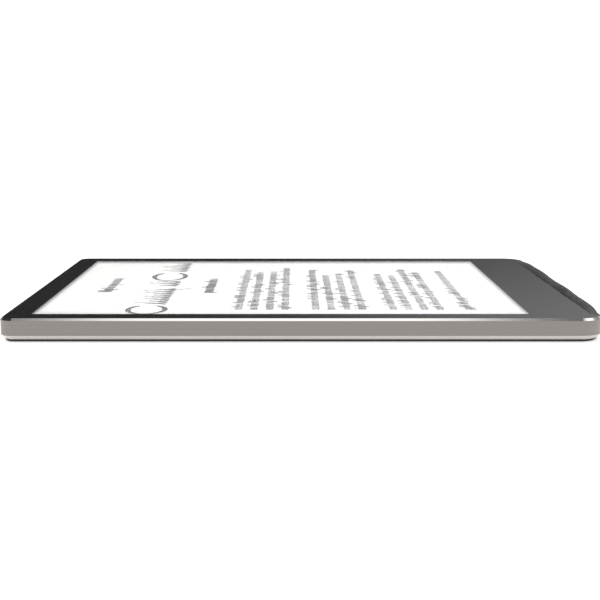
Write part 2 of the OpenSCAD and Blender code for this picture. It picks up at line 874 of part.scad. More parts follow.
module board_screws() {
    color("#707274")
    for (p = board_bosses) {
        screw_up(p[0], p[1], z_board, board_t + z_bay - z_board_top + 0.2);
    }
}

front_glass();
bezel_ink();
glass_gasket();
touch_sensor();
light_guide();
frontlight_bar();
display_film();
display_backplane();
display_drivers();
display_cushion();
mid_frame();
chassis_plate();
back_cover();
home_key();
page_back_key();
page_forward_key();
menu_key();
key_board();
key_domes();
power_button();
power_switch();
status_light_pipe();
status_led();
usb_shell();
usb_tongue();
speaker();
speaker_gasket();
speaker_mesh();
main_board();
processor();
memory_chip();
power_chip();
shield_can();
wireless_module();
board_passives();
battery_cell();
battery_protector();
battery_pad();
battery_lead();
battery_plug();
battery_socket();
display_flex();
display_socket();
touch_flex();
touch_socket();
key_flex();
key_socket();
cover_sensor();
antenna();
chassis_screws();
board_screws();
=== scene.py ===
import math
import random

import bpy
from bpy.props import FloatProperty, PointerProperty, StringProperty
from bpy.types import Operator, Panel, PropertyGroup
from mathutils import Euler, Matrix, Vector


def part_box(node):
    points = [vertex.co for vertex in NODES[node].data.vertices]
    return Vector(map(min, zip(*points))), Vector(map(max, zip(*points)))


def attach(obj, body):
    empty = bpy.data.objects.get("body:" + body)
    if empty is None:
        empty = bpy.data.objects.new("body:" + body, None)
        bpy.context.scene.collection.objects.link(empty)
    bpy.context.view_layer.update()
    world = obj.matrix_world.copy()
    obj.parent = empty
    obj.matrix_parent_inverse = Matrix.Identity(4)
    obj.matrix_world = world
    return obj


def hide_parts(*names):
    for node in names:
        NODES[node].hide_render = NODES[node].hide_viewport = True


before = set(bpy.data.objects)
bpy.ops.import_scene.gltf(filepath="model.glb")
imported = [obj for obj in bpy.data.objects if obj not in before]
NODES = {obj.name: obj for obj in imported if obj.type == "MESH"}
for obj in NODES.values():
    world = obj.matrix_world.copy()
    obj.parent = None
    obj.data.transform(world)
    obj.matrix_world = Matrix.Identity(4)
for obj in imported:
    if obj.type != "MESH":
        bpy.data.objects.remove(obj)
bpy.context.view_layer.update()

bl_info = {
    "name": "Reading tablet",
    "version": (1, 0, 0),
    "blender": (4, 5, 0),
    "location": "3D View > Sidebar > Reader",
    "description": "Finishes, printed page, keys and studio for a slim reading tablet",
    "category": "Object",
}

MM = 0.001
GLASS_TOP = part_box("front_glass")[1].z
PAGE_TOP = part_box("display_film")[1].z
STRIP_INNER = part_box("home_key")[0].x

# how far gloss varies either way across a grained finish
GLOSS_SPREAD = 0.06
# two points of a mesh this close along one axis are in one row
SAME_ROW = 0.02 * MM

# a key's upper face: its squares across and along, the hidden part inside the glass's edge,
# how far it takes to rise to the ridge, and the least lift and width left at its ends
KEY_ROWS = 8
KEY_COLUMNS = 40
KEY_HIDDEN = 1.0 * MM
KEY_RISE = 2.55 * MM
KEY_LEAST_LIFT = 0.02 * MM
KEY_LEAST_WIDTH = 0.12 * MM
# its flange and plunger
FLANGE_INSET = 6 * MM
FLANGE_MARGIN = 0.05 * MM
FLANGE_THICKNESS = 0.27 * MM
PLUNGER_RADIUS = 0.6 * MM
PLUNGER_EDGE = 0.1 * MM

# the charging socket's contacts, in two rows above and below its tongue
CONTACTS = 12
CONTACT_PITCH = 0.5 * MM
CONTACT_LENGTH = 4.4 * MM
CONTACT_THICKNESS = 0.05 * MM
CONTACT_LIFT = 0.35 * MM

# the shares of a printed line's strokes that reach up, and from where on they reach down
REACH_UP = 0.24
REACH_DOWN_FROM = 0.9
# the title's loops: their straight pieces, and their start and turn in radians
LOOP_STEPS = 30
LOOP_START = 0.55
LOOP_TURN = 5.3
# the title's waves: points in each, their height and their length
WAVE_STEPS = 10
WAVE_HEIGHT = 7.0 * MM
WAVE_LENGTH = 4.2 * MM

FLOOR_RADIUS = 6.0
FLOOR_DROP = 0.05 * MM


# ---------------------------------------------------------------- settings


class ReaderSizes(PropertyGroup):
    """Sizes of the pieces that are made here."""

    letter_pitch: FloatProperty(
        name="Letter pitch", description="Distance between two strokes of a printed line",
        default=2.4 * MM, unit="LENGTH")
    letter_height: FloatProperty(
        name="Letter height", description="Height of the low strokes of a printed line",
        default=2.35 * MM, unit="LENGTH")
    pen_width: FloatProperty(
        name="Pen width", description="Width of the printed strokes", default=1.0 * MM, unit="LENGTH")
    line_pitch: FloatProperty(
        name="Line pitch", description="Distance between two printed lines", default=5.3 * MM, unit="LENGTH")
    title_height: FloatProperty(
        name="Title loop", description="Height of the title's large loops", default=12.5 * MM, unit="LENGTH")
    title_pen: FloatProperty(
        name="Title pen", description="Width of the title's strokes", default=1.3 * MM, unit="LENGTH")
    print_lift: FloatProperty(
        name="Print thickness", description="Thickness of the printed strokes on the page",
        default=0.02 * MM, unit="LENGTH")
    key_edge: FloatProperty(
        name="Key edge", description="Rounding of the keys' upper edges", default=0.16 * MM, unit="LENGTH")
    key_crest: FloatProperty(
        name="Key crest", description="Height of a key's crest above the glass",
        default=1.65 * MM, unit="LENGTH")
    key_dip: FloatProperty(
        name="Key dip", description="Height of the dips between keys above the glass",
        default=1.32 * MM, unit="LENGTH")
    home_fall: FloatProperty(
        name="Home key fall", description="How late the ridge falls over the home key", default=6.0)
    menu_fall: FloatProperty(
        name="Menu key fall", description="How late the ridge falls over the menu key", default=1.5)
    strip_end: FloatProperty(
        name="Strip end", description="From the long side to the end of the key strip",
        default=7.25 * MM, unit="LENGTH")
    strip_level: FloatProperty(
        name="Level end", description="Level stretch at each end of the key strip",
        default=2.0 * MM, unit="LENGTH")
    strip_corner: FloatProperty(
        name="Strip corner", description="Corner radius at the ends of the strip's inner line",
        default=3.15 * MM, unit="LENGTH")
    key_gap: FloatProperty(
        name="Key gap", description="Clearance round the key strip", default=0.15 * MM, unit="LENGTH")
    contact_width: FloatProperty(
        name="Contact width", description="Width of a charging contact", default=0.25 * MM, unit="LENGTH")


class ReaderColours(PropertyGroup):
    """Colours of the finishes, as hex values."""

    metal: StringProperty(
        name="Frame side", description="Blasted, anodised side of the frame", default="#8A8582")
    polished: StringProperty(
        name="Upper edge", description="Diamond-cut upper edge of the frame", default="#F4F1EE")
    # the lower edge's light colour is a painted reflection of the floor, not a finish of its own
    foot: StringProperty(name="Lower edge", description="Lower edge of the frame, painted lighter as the floor's reflection", default="#D3CECA")
    border: StringProperty(name="Border", description="Printed border under the glass", default="#151515")
    cover: StringProperty(name="Back cover", description="Moulded back cover", default="#343332")
    key: StringProperty(name="Keys", description="Moulded page keys", default="#595B5B")
    page: StringProperty(name="Page", description="White of the page", default="#F3F3F1")
    print_ink: StringProperty(name="Print", description="Black of the page's print", default="#141414")
    floor: StringProperty(name="Floor", description="Studio floor", default="#F4F4F4")


class ReaderStudio(PropertyGroup):
    """Camera and light."""

    lens: FloatProperty(name="Lens", description="Focal length", default=66.4, unit="CAMERA")
    back: FloatProperty(
        name="Distance", description="From the body's near long side to the camera, along the table",
        default=348.43 * MM, unit="LENGTH")
    side: FloatProperty(
        name="Sideways", description="From the body's middle to the camera",
        default=-2.65 * MM, unit="LENGTH")
    above: FloatProperty(
        name="Height", description="Of the camera above the glass", default=67.54 * MM, unit="LENGTH")
    tilt: FloatProperty(
        name="Tilt", description="Downward tilt of the camera", default=math.radians(9.998), subtype="ANGLE")
    shift: FloatProperty(
        name="Shift", description="Lens shift towards the key end, as a share of the picture's width",
        default=0.0093)
    room: FloatProperty(name="Room light", description="Brightness of the even room light", default=1.0)


# ---------------------------------------------------------------- small tools


def linear(code):
    """Linear colour with alpha from an sRGB hex value."""
    parts = [int(code[i:i + 2], 16) / 255 for i in (1, 3, 5)]
    return tuple(p / 12.92 if p <= 0.04045 else ((p + 0.055) / 1.055) ** 2.4 for p in parts) + (1.0,)


def add(tree, kind, settings=None, **links):
    """Adds a node. settings are its attributes, links its inputs' values or sockets, by name or place."""
    made = tree.nodes.new(kind)
    for key, value in (settings or {}).items():
        setattr(made, key, value)
    for key, value in links.items():
        by_place = key[0] == "_" and key[1:].isdigit()
        socket = made.inputs[int(key[1:]) if by_place else key.replace("_", " ")]
        if isinstance(value, bpy.types.NodeSocket):
            tree.links.new(value, socket)
        else:
            socket.default_value = value
    return made


def blank(name):
    """A new node material with only its output."""
    made = bpy.data.materials.new(name)
    made.use_nodes = True
    made.node_tree.nodes.clear()
    return made, made.node_tree, made.node_tree.nodes.new("ShaderNodeOutputMaterial")


def ramp(tree, factor, stops):
    """A colour ramp through (place, colour) stops."""
    made = add(tree, "ShaderNodeValToRGB", _0=factor)
    band = made.color_ramp
    while len(band.elements) < len(stops):
        band.elements.new(1.0)
    for element, (place, colour) in zip(band.elements, stops):
        element.position = place
        element.color = colour
    return made.outputs["Color"]


def grained(name, light, dark, grain, rough, metallic=0.0, bump=0.0, stretch=(1, 1, 1), ior=1.5,
            specular=0.5):
    """Material whose tone, gloss and relief follow one fine grain; grain and bump are in millimetres."""
    made, tree, out = blank(name)
    place = add(tree, "ShaderNodeTexCoord").outputs["Object"]
    size = add(tree, "ShaderNodeMapping", _0=place, Scale=tuple(s / (grain * MM) for s in stretch))
    noise = add(tree, "ShaderNodeTexNoise", Vector=size.outputs[0], Scale=1.0, Detail=4.0, Roughness=0.6)
    tone = ramp(tree, noise.outputs[0], [(0.3, linear(dark)), (0.7, linear(light))])
    gloss = add(tree, "ShaderNodeMapRange", Value=noise.outputs[0], _3=rough - GLOSS_SPREAD,
                _4=rough + GLOSS_SPREAD)
    shader = add(tree, "ShaderNodeBsdfPrincipled", Base_Color=tone, Roughness=gloss.outputs[0],
                 Metallic=metallic, IOR=ior)
    shader.inputs["Specular IOR Level"].default_value = specular
    if bump:
        relief = add(tree, "ShaderNodeBump", Strength=1.0, Distance=bump * MM, Height=noise.outputs[0])
        tree.links.new(relief.outputs[0], shader.inputs["Normal"])
    tree.links.new(shader.outputs[0], out.inputs["Surface"])
    return made


def dress(made, *names):
    """Gives CAD nodes a material."""
    for name in names:
        slots = NODES[name].data.materials
        slots.clear()
        slots.append(made)


def alone(piece=None):
    """Leaves edit mode and selects only this piece, or nothing."""
    if bpy.context.object and bpy.context.object.mode != "OBJECT":
        bpy.ops.object.mode_set(mode="OBJECT")
    bpy.ops.object.select_all(action="DESELECT")
    if piece:
        piece.select_set(True)
        bpy.context.view_layer.objects.active = piece


def settle(piece, name, made, body):
    """Applies the piece's place, names it, and gives it its material, body and slot."""
    alone(piece)
    apply_place()
    piece.name = name
    piece.data.name = name
    piece.data.materials.clear()
    piece.data.materials.append(made)
    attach(piece, body)
    return piece


def pick(piece, kind, test):
    """In edit mode, selects only the vertices, edges or faces that pass the test."""
    bpy.ops.mesh.select_mode(type=kind)
    bpy.ops.mesh.select_all(action="DESELECT")
    bpy.ops.object.mode_set(mode="OBJECT")
    mesh = piece.data
    group = {"VERT": mesh.vertices, "EDGE": mesh.edges, "FACE": mesh.polygons}[kind]
    for item in group:
        item.select = test(mesh, item)
    bpy.ops.object.mode_set(mode="EDIT")


def apply_place():
    """Bakes the selected pieces' place, turn and scale into their meshes."""
    bpy.ops.object.transform_apply(location=True, rotation=True, scale=True)


def soften(piece, offset, segments, test=None):
    """Rounds the edges of the faces that pass the test, or every edge."""
    bpy.ops.object.mode_set(mode="EDIT")
    if test:
        pick(piece, "FACE", test)
    else:
        bpy.ops.mesh.select_all(action="SELECT")
    bpy.ops.mesh.bevel(offset=offset, segments=segments, affect="EDGES")
    bpy.ops.object.mode_set(mode="OBJECT")


def joined(pieces):
    """Joins pieces into the first of them."""
    alone(pieces[0])
    for piece in pieces:
        piece.select_set(True)
    bpy.ops.object.join()
    return pieces[0]


# ---------------------------------------------------------------- finishes


def glass_finish():
    """Polished cover glass, bonded to the layers below it: only its upper face bends and mirrors light."""
    made, tree, out = blank("cover_glass_polished_aluminosilicate")
    coord = add(tree, "ShaderNodeTexCoord")
    facing = add(tree, "ShaderNodeSeparateXYZ", _0=coord.outputs["Normal"])
    upper = add(tree, "ShaderNodeMath", {"operation": "GREATER_THAN"}, _0=facing.outputs[2], _1=0.5)
    # hand marks: a very faint, wide change of gloss, as on any handled glass
    size = add(tree, "ShaderNodeMapping", _0=coord.outputs["Object"], Scale=(30, 45, 30))
    marks = add(tree, "ShaderNodeTexNoise", Vector=size.outputs[0], Scale=1.0, Detail=3.0)
    gloss = add(tree, "ShaderNodeMapRange", Value=marks.outputs[0], _3=0.01, _4=0.03)
    body = add(tree, "ShaderNodeBsdfPrincipled", Base_Color=(1, 1, 1, 1), Roughness=gloss.outputs[0], IOR=1.5)
    body.inputs["Transmission Weight"].default_value = 1.0
    clear = add(tree, "ShaderNodeBsdfTransparent")
    mix = add(tree, "ShaderNodeMixShader", _0=upper.outputs[0], _1=clear.outputs[0], _2=body.outputs[0])
    tree.links.new(mix.outputs[0], out.inputs["Surface"])
    return made


def clear_finish(name, tint, alpha):
    """Clear film or sheet: almost nothing but a faint, slightly uneven tint."""
    made, tree, out = blank(name)
    place = add(tree, "ShaderNodeTexCoord").outputs["Object"]
    noise = add(tree, "ShaderNodeTexNoise", Vector=place, Scale=60.0, Detail=2.0)
    tone = ramp(tree, noise.outputs[0], [(0.3, linear(tint)), (0.7, linear("#FFFFFF"))])
    body = add(tree, "ShaderNodeBsdfPrincipled", Base_Color=tone, Roughness=0.2, IOR=1.49, Alpha=alpha)
    tree.links.new(body.outputs[0], out.inputs["Surface"])
    return made


def page_finish(colours):
    """Paper-like display film: a matt, faintly mottled white that glows; the glow is painted light, put in as
    the light guide's light.
    """
    made, tree, out = blank("paper_film_with_painted_glow")
    place = add(tree, "ShaderNodeTexCoord").outputs["Object"]
    # capsules are about 0.04 mm across; drawn at 0.4 mm so that they show
    size = add(tree, "ShaderNodeMapping", _0=place, Scale=(2500, 2500, 2500))
    capsules = add(tree, "ShaderNodeTexNoise", Vector=size.outputs[0], Scale=1.0, Detail=2.0)
    tone = ramp(tree, capsules.outputs[0], [(0.25, linear("#E9E9E6")), (0.75, linear(colours.page))])
    spot = add(tree, "ShaderNodeSeparateXYZ", _0=place)
    # painted shade: the glow fades beside the printed border, furthest in along the near long side
    low, high = window_box()
    edges = []
    for axis, sign, edge, shade_reach in ((0, 1, low[0], 1.6 * MM), (0, -1, high[0], 1.6 * MM),
                                   (1, 1, low[1], 11 * MM), (1, -1, high[1], 5 * MM)):
        way = add(tree, "ShaderNodeMath", {"operation": "MULTIPLY_ADD"},
                  _0=spot.outputs[axis], _1=sign / shade_reach, _2=-sign * edge / shade_reach)
        edges.append(way.outputs[0])
    # near sets the painted shade beside the border: 0 at the border, 1 where the shade has faded out
    near = edges[0]
    for other in edges[1:]:
        near = add(tree, "ShaderNodeMath", {"operation": "MINIMUM"}, _0=near, _1=other).outputs[0]
    # and painted light: the glow is a little stronger along the far long side
    painted_far_light = add(tree, "ShaderNodeMapRange", Value=spot.outputs[1], _1=low[1], _2=high[1], _3=1.3, _4=1.65)
    # the glow: the page's painted light, dimmed beside the border as painted shade
    painted_glow = add(tree, "ShaderNodeMapRange", Value=near, _1=0.0, _2=1.0, _3=0.3, _4=painted_far_light.outputs[0])
    body = add(tree, "ShaderNodeBsdfPrincipled", Base_Color=tone, Roughness=0.85, IOR=1.45,
               Emission_Color=linear(colours.page), Emission_Strength=painted_glow.outputs[0])
    body.inputs["Specular IOR Level"].default_value = 0.1
    tree.links.new(body.outputs[0], out.inputs["Surface"])
    return made


def window_box():
    """Lowest and highest corner of the window in the printed border, in metres."""
    low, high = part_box("display_film")
    mesh = NODES["bezel_ink"].data
    inside = [v.co for v in mesh.vertices
              if low.x < v.co.x < high.x + 4 * MM and low.y < v.co.y < high.y]
    xs, ys = [c.x for c in inside], [c.y for c in inside]
    return (min(xs), min(ys)), (max(xs), max(ys))


def metal_finish(name, colours):
    """Bead-blasted, anodised aluminium with diamond-cut upper edges: satin sides, mirror-bright chamfer, and
    faces turned down painted lighter as a reflection of the floor.
    """
    made, tree, out = blank(name)
    coord = add(tree, "ShaderNodeTexCoord")
    facing = add(tree, "ShaderNodeSeparateXYZ", _0=coord.outputs["Normal"])
    above = add(tree, "ShaderNodeMath", {"operation": "GREATER_THAN"}, _0=facing.outputs[2], _1=0.3)
    below = add(tree, "ShaderNodeMath", {"operation": "LESS_THAN"}, _0=facing.outputs[2], _1=-0.3)
    # blasting leaves pits about 0.1 mm across, drawn 0.25 mm wide; the extrusion leaves faint long lines
    pits = add(tree, "ShaderNodeMapping", _0=coord.outputs["Object"], Scale=(4000, 4000, 4000))
    grain = add(tree, "ShaderNodeTexNoise", Vector=pits.outputs[0], Scale=1.0, Detail=3.0, Roughness=0.65)
    lines = add(tree, "ShaderNodeMapping", _0=coord.outputs["Object"], Scale=(18, 18, 2600))
    drawn = add(tree, "ShaderNodeTexNoise", Vector=lines.outputs[0], Scale=1.0, Detail=2.0)
    both = add(tree, "ShaderNodeMix", {"data_type": "FLOAT"}, _0=0.5, _2=grain.outputs[0],
               _3=drawn.outputs[0])
    satin = ramp(tree, both.outputs[0], [(0.3, linear("#827D7A")), (0.7, linear(colours.metal))])
    # painted reflection: faces turned down take the lighter lower-edge colour in place of the floor's
    # reflection
    cut = add(tree, "ShaderNodeMix", {"data_type": "RGBA"}, _0=below.outputs[0], _6=satin,
              _7=linear(colours.foot))
    colour = add(tree, "ShaderNodeMix", {"data_type": "RGBA"}, _0=above.outputs[0], _6=cut.outputs[2],
                 _7=linear(colours.polished))
    gloss = add(tree, "ShaderNodeMapRange", Value=both.outputs[0], _3=0.27, _4=0.35)
    rough = add(tree, "ShaderNodeMix", {"data_type": "FLOAT"}, _0=above.outputs[0], _2=gloss.outputs[0],
                _3=0.07)
    flat = add(tree, "ShaderNodeMath", {"operation": "SUBTRACT"}, _0=1.0, _1=above.outputs[0])
    relief = add(tree, "ShaderNodeBump", Strength=flat.outputs[0], Distance=0.004 * MM,
                 Height=both.outputs[0])
    body = add(tree, "ShaderNodeBsdfPrincipled", Base_Color=colour.outputs[2], Roughness=rough.outputs[0],
               Metallic=1.0, Normal=relief.outputs[0])
    tree.links.new(body.outputs[0], out.inputs["Surface"])
    return made


def ribbon_finish():
    """Polyimide ribbon: amber film with darker copper tracks that run along X."""
    made, tree, out = blank("ribbon_polyimide_copper_tracks")
    place = add(tree, "ShaderNodeTexCoord").outputs["Object"]
    # tracks about every 1 mm
    size = add(tree, "ShaderNodeMapping", _0=place, Scale=(1, 2000, 1))
    tracks = add(tree, "ShaderNodeTexWave", {"bands_direction": "Y"}, Vector=size.outputs[0], Scale=0.16,
                 Distortion=0.0)
    tone = ramp(tree, tracks.outputs[1], [(0.4, linear("#8C5218")), (0.6, linear("#C98A3C"))])
    body = add(tree, "ShaderNodeBsdfPrincipled", Base_Color=tone, Roughness=0.3, IOR=1.7)
    body.inputs["Coat Weight"].default_value = 0.4
    tree.links.new(body.outputs[0], out.inputs["Surface"])
    return made


def board_finish():
    """Solder mask over glass-epoxy board: deep green with paler pads that show through, faint gloss."""
    made, tree, out = blank("circuit_board_solder_mask")
    place = add(tree, "ShaderNodeTexCoord").outputs["Object"]
    # pads about 1 mm across, one about every 1.5 mm
    size = add(tree, "ShaderNodeMapping", _0=place, Scale=(650, 650, 650))
    cells = add(tree, "ShaderNodeTexVoronoi", {"distance": "MANHATTAN", "feature": "F1"},
                Vector=size.outputs[0], Scale=1.0, Randomness=0.9)
    tone = ramp(tree, cells.outputs[0], [(0.30, linear("#2F6B46")), (0.42, linear("#174229"))])
    body = add(tree, "ShaderNodeBsdfPrincipled", Base_Color=tone, Roughness=0.32, IOR=1.55)
    body.inputs["Coat Weight"].default_value = 0.3
    tree.links.new(body.outputs[0], out.inputs["Surface"])
    return made


def weave_finish():
    """Woven polyester mesh: dark crossed threads over the sound holes."""
    made, tree, out = blank("sound_mesh_woven_polyester")
    place = add(tree, "ShaderNodeTexCoord").outputs["Object"]
    # threads every 0.12 mm, drawn about every 0.48 mm
    across = add(tree, "ShaderNodeTexWave", {"bands_direction": "Y"}, Vector=place, Scale=660.0)
    along = add(tree, "ShaderNodeTexWave", {"bands_direction": "Z"}, Vector=place, Scale=660.0)
    both = add(tree, "ShaderNodeMath", {"operation": "MULTIPLY"}, _0=across.outputs[1], _1=along.outputs[1])
    tone = ramp(tree, both.outputs[0], [(0.1, linear("#2C2C2E")), (0.7, linear("#0A0A0A"))])
    relief = add(tree, "ShaderNodeBump", Strength=0.8, Distance=0.04 * MM, Height=both.outputs[0])
    body = add(tree, "ShaderNodeBsdfPrincipled", Base_Color=tone, Roughness=0.75, Normal=relief.outputs[0])
    tree.links.new(body.outputs[0], out.inputs["Surface"])
    return made


def wire_finish():
    """PVC-covered leads: red, black and white, by their place across the board."""
    made, tree, out = blank("wire_insulation_pvc")
    place = add(tree, "ShaderNodeTexCoord").outputs["Object"]
    spot = add(tree, "ShaderNodeSeparateXYZ", _0=place)
    way = add(tree, "ShaderNodeMapRange", Value=spot.outputs[1], _1=-2.25 * MM, _2=2.25 * MM)
    bands = add(tree, "ShaderNodeValToRGB", _0=way.outputs[0])
    bands.color_ramp.interpolation = "CONSTANT"
    bands.color_ramp.elements[0].color = linear("#1B1B1C")
    bands.color_ramp.elements[1].position = 0.34
    bands.color_ramp.elements[1].color = linear("#D8D5CC")
    last = bands.color_ramp.elements.new(0.67)
    last.color = linear("#B02A22")
    body = add(tree, "ShaderNodeBsdfPrincipled", Base_Color=bands.outputs[0], Roughness=0.4, IOR=1.53)
    tree.links.new(body.outputs[0], out.inputs["Surface"])
    return made


# ---------------------------------------------------------------- pieces


class READER_OT_glass(Operator):
    """Cover glass, its printed border and the clear layers bonded below it"""

    bl_idname = "reader.glass"
    bl_label = "Glass and border"

    def execute(self, context):
        colours = context.scene.reader_colours
        dress(glass_finish(), "front_glass")
        # screen-printed ceramic ink: dense black, very slightly uneven
        dress(grained("border_ink_screen_printed", colours.border, "#121212", 0.6, 0.55, specular=0.2),
              "bezel_ink")
        # acrylic foam tape: dull black with a soft grain
        dress(grained("glass_tape_acrylic_foam", "#232323", "#171717", 0.4, 0.8, bump=0.01), "glass_gasket")
        dress(clear_finish("touch_film_polyester", "#DDE6EA", 0.004), "touch_sensor")
        dress(clear_finish("light_guide_moulded_acrylic", "#E6EEF2", 0.004), "light_guide")
        for name in ("front_glass", "touch_sensor", "light_guide"):
            NODES[name].visible_shadow = False
            NODES[name].visible_diffuse = False
        return {"FINISHED"}


class READER_OT_display(Operator):
    """Display film and the layers under it"""

    bl_idname = "reader.display"
    bl_label = "Display"

    def execute(self, context):
        dress(page_finish(context.scene.reader_colours), "display_film")
        # thin glass backplane: grey-green, with a faint mottle
        dress(grained("backplane_glass", "#A9B7B0", "#94A49C", 2.0, 0.2), "display_backplane")
        # white solder mask with small phosphor lamps
        dress(grained("light_bar_white_mask", "#ECE7D2", "#D9D2B4", 0.5, 0.4), "frontlight_bar")
        # microcellular urethane foam: open dark grain
        dress(grained("cushion_urethane_foam", "#58585A", "#333335", 0.25, 0.9, bump=0.05), "display_cushion")
        return {"FINISHED"}


def strokes_object(lines, radius):
    """A flat printed mark from lists of (x, y, pen) points, as one mesh on the page."""
    alone()
    bpy.ops.curve.primitive_nurbs_path_add(radius=1.0, location=(0, 0, 0))
    piece = context_object()
    curve = piece.data
    curve.splines.clear()
    curve.dimensions = "3D"
    curve.bevel_depth = radius
    curve.bevel_resolution = 0
    curve.resolution_u = 2
    curve.use_fill_caps = True
    for line in lines:
        spline = curve.splines.new("POLY")
        spline.points.add(len(line) - 1)
        for point, (x, y, pen) in zip(spline.points, line):
            point.co = (x, y, 0.0, 1.0)
            point.radius = pen
    bpy.ops.object.convert(target="MESH")
    piece = context_object()
    thickness = bpy.context.scene.reader_sizes.print_lift
    bpy.ops.object.mode_set(mode="EDIT")
    bpy.ops.mesh.select_all(action="SELECT")
    bpy.ops.transform.resize(value=(1, 1, thickness / (2 * radius)), center_override=(0, 0, 0))
    bpy.ops.transform.translate(value=(0, 0, PAGE_TOP + thickness / 2))
    bpy.ops.object.mode_set(mode="OBJECT")
    return piece


def context_object():
    """The active object."""
    return bpy.context.view_layer.objects.active


def scribble(x, y, length, sizes, rng, scale=1.0):
    """Word-like runs of low round strokes along Y from (x, y): only the look of a printed line."""
    lines = []
    end = y + length
    pitch, tall = sizes.letter_pitch, sizes.letter_height * scale
    while y < end - 2 * pitch:
        count = min(rng.choice((1, 1, 2, 2, 3, 3, 4, 5)), int((end - y) / pitch))
        weight = rng.uniform(0.8, 1.2) * scale
        word = []
        for i in range(count):
            top = x - tall * rng.uniform(0.92, 1.05)
            foot = x
            here = y + i * pitch
            rise = rng.random()
            if rise < REACH_UP:
                lines.append([(x - tall * 1.6, here + 0.1 * pitch, 1.6),
                              (x - tall * 0.4, here + 0.1 * pitch, 1.6)])
            elif rise > REACH_DOWN_FROM:
                lines.append([(x - tall * 0.6, here + 0.2 * pitch, 1.6),
                              (x + tall * 0.6, here + 0.2 * pitch, 1.6)])
            word += [(foot, here, weight), (top + 0.2 * tall, here + 0.06 * pitch, weight),
                     (top, here + 0.3 * pitch, 0.8), (top + 0.2 * tall, here + 0.54 * pitch, weight),
                     (foot - 0.1 * tall, here + 0.6 * pitch, weight), (foot, here + 0.8 * pitch, 0.8)]
        lines.append(word)
        y += count * pitch + 0.35 * pitch
    return lines


def flourish(base, y0, sizes, rng):
    """Flowing title along Y from y0, standing on the line at base: two large open loops and runs of waves."""
    big = sizes.title_height
    lines = []
    for middle, wide in ((8 * MM, 16 * MM), (81 * MM, 20 * MM)):
        loop = []
        for i in range(LOOP_STEPS + 1):
            a = LOOP_START + LOOP_TURN * i / LOOP_STEPS
            loop.append((base - big * 0.42 - big / 2 * math.sin(a), y0 + middle + wide / 2 * math.cos(a),
                         1.0 + 0.5 * abs(math.sin(a))))
        lines.append(loop)
    for start, count in ((18 * MM, 8), (57 * MM, 3), (94 * MM, 6)):
        wave = []
        for i in range(count * WAVE_STEPS + 1):
            a = 2 * math.pi * i / WAVE_STEPS
            wave.append((base - WAVE_HEIGHT * (1 - math.cos(a)) / 2,
                         y0 + start + i / WAVE_STEPS * WAVE_LENGTH + 0.18 * WAVE_LENGTH * math.sin(a),
                         1.05 + 0.3 * math.sin(a + 1)))
        lines.append(wave)
        for i in range(count):
            if rng.random() < 0.7:
                here = y0 + start + (i + 0.5) * WAVE_LENGTH
                reach = rng.choice((-1.0, -1.0, 0.6)) * rng.uniform(9.0, 12.0) * MM
                lines.append([(base - 2 * MM, here, 0.8), (base + 0.5 * reach, here + 0.4 * MM, 0.9),
                              (base + reach, here + 1.4 * MM, 0.7),
                              (base + 0.85 * reach, here + 2.2 * MM, 0.6)])
    return lines


class READER_OT_print(Operator):
    """Generic print on the page: a heading, a flowing title, three blocks of lines and a last line"""

    bl_idname = "reader.print"
    bl_label = "Printed page"

    def execute(self, context):
        sizes = context.scene.reader_sizes
        rng = random.Random(7)
        ink, tree, out = blank("page_print_black_pigment")
        # black pigment pushed to the surface: dense, matt, a little patchy
        place = add(tree, "ShaderNodeTexCoord").outputs["Object"]
        noise = add(tree, "ShaderNodeTexNoise", Vector=place, Scale=3000.0, Detail=2.0)
        tone = ramp(tree, noise.outputs[0], [(0.3, linear(context.scene.reader_colours.print_ink)),
                                             (0.7, linear("#262626"))])
        body = add(tree, "ShaderNodeBsdfPrincipled", Base_Color=tone, Roughness=0.85)
        body.inputs["Specular IOR Level"].default_value = 0.1
        tree.links.new(body.outputs[0], out.inputs["Surface"])

        low = window_box()[0]
        left = low[1] + 11.4 * MM
        head = low[0]
        pitch = sizes.line_pitch
        # distance of each line from the head of the window, its start across the page and its length
        blocks = {
            "page_heading": [(18.2 * MM, left + 36 * MM, 36 * MM)],
            "page_subheading": [(56.0 * MM, left + 34 * MM, 38 * MM)],
            "page_block_a": [(68.4 * MM + i * pitch, left, n * MM) for i, n in enumerate((95, 88, 90, 97))],
            "page_block_b": [(94.8 * MM + i * pitch, left, n * MM) for i, n in enumerate((96, 82, 83, 95))],
            "page_block_c": [(121.2 * MM + i * pitch, left, n * MM) for i, n in enumerate((84, 80, 97, 86))],
            "page_last_line": [(146.9 * MM, left, 90 * MM)],
        }
        for name, rows in blocks.items():
            lines = []
            for down, start, length in rows:
                lines += scribble(head + down, start, length, sizes, rng, 1.3 if "heading" in name else 1.0)
            piece = strokes_object(lines, sizes.pen_width / 2)
            settle(piece, name, ink, "device")
        lines = flourish(head + 41.5 * MM, low[1] + 3.3 * MM, sizes, rng)
        piece = strokes_object(lines, sizes.title_pen / 2)
        settle(piece, "page_title", ink, "device")
        return {"FINISHED"}


class READER_OT_frame(Operator):
    """Metal side frame and the power button cut from the same stock"""

    bl_idname = "reader.frame"
    bl_label = "Side frame"

    def execute(self, context):
        colours = context.scene.reader_colours
        dress(metal_finish("side_frame_anodised_aluminium", colours), "mid_frame", "power_button")
        return {"FINISHED"}


class READER_OT_cover(Operator):
    """Back cover"""

    bl_idname = "reader.cover"
    bl_label = "Back cover"

    def execute(self, context):
        colours = context.scene.reader_colours
        # polycarbonate moulded in a spark-eroded tool: fine even pits about 0.15 mm across, drawn at 0.3 mm
        dress(grained("back_cover_moulded_polycarbonate", colours.cover, "#282726", 0.3, 0.7, bump=0.012,
                      ior=1.58, specular=0.15), "back_cover")
        return {"FINISHED"}


def strip_half(sizes):
    """From the body's middle to the end of the key strip."""
    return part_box("mid_frame")[1].y - sizes.strip_end


